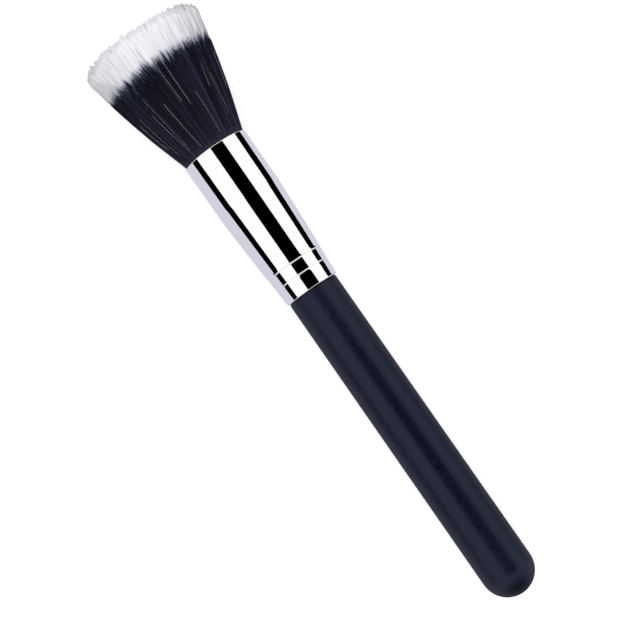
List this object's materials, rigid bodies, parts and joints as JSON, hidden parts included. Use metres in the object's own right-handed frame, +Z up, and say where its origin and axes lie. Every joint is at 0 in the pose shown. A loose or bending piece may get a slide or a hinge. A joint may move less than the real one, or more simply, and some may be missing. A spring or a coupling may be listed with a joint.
{
  "type": "stippling brush",
  "caption": "Flat-topped stippling makeup brush with short dark and longer white fibres, a crimped chrome ferrule and a round dark handle, lying on its side.",
  "frame": {"origin": "on the surface that the brush lies on, under the middle of its box", "axes": "+X from the butt of the handle towards the stippling face, +Z up; the brush's own axis rises by 3.37 degrees towards the head"},
  "size_m": [0.1844, 0.0366, 0.0361],
  "materials": {
    "navy_paint": "satin",
    "chrome": "polished",
    "dark_hair": "satin",
    "white_filament": "satin",
    "clear_resin": "gloss",
    "cotton_thread": "matte",
    "white_glue": "satin"
  },
  "bodies": {
    "root": {"handle": "navy_paint", "ferrule": "chrome", "dark_fibres": "dark_hair", "white_fibres": "white_filament", "root_glue": "clear_resin", "knot_tie_thread": "cotton_thread", "tenon_glue": "white_glue"}
  },
  "joints": []
}
